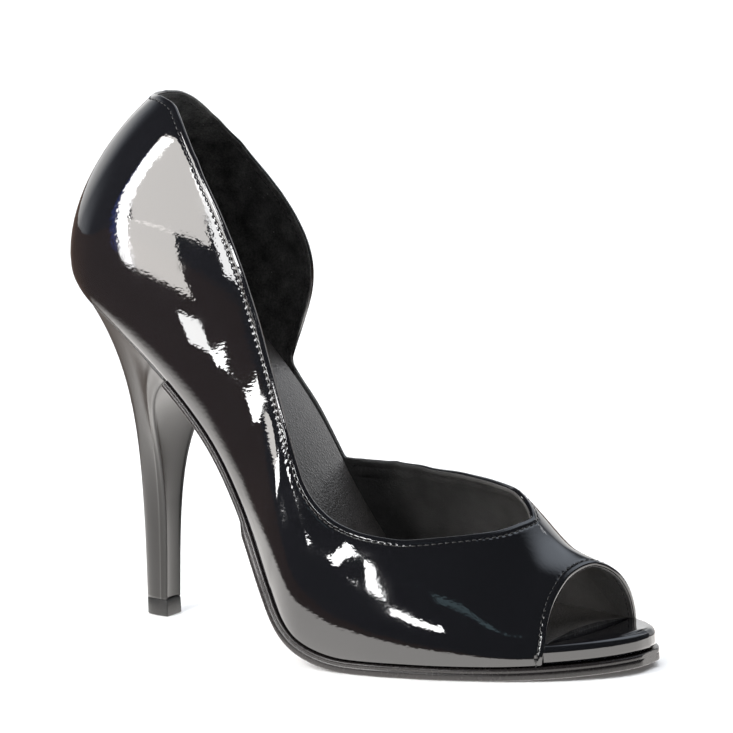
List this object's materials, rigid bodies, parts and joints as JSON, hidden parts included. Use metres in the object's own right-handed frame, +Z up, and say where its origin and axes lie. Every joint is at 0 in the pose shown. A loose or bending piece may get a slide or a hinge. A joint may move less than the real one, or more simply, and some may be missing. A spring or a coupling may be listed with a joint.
{
  "type": "peep toe pump",
  "caption": "High-heeled court shoe with an open toe, a low cut vamp, an open inner arch, a closed heel counter and a slim tall heel.",
  "frame": {"origin": "middle of the bottom face of the heel tip, on the ground", "axes": "+X towards the toe, +Y towards the inner side of the foot, +Z up"},
  "size_m": [0.1952, 0.0795, 0.1683],
  "materials": {
    "patent_upper": "black patent leather with a wet gloss",
    "sock": "soft black grained leather",
    "patent_rim": "black patent leather with a wet gloss",
    "sole": "smooth black resin sole with a burnished edge",
    "patent_heel": "moulded heel covered in black patent leather",
    "tip": "matt black hard plastic"
  },
  "bodies": {
    "root": {"upper": "patent_upper", "insole": "sock", "toe_rim": "patent_rim", "outsole": "sole", "heel": "patent_heel", "heel_tip": "tip"}
  },
  "joints": []
}
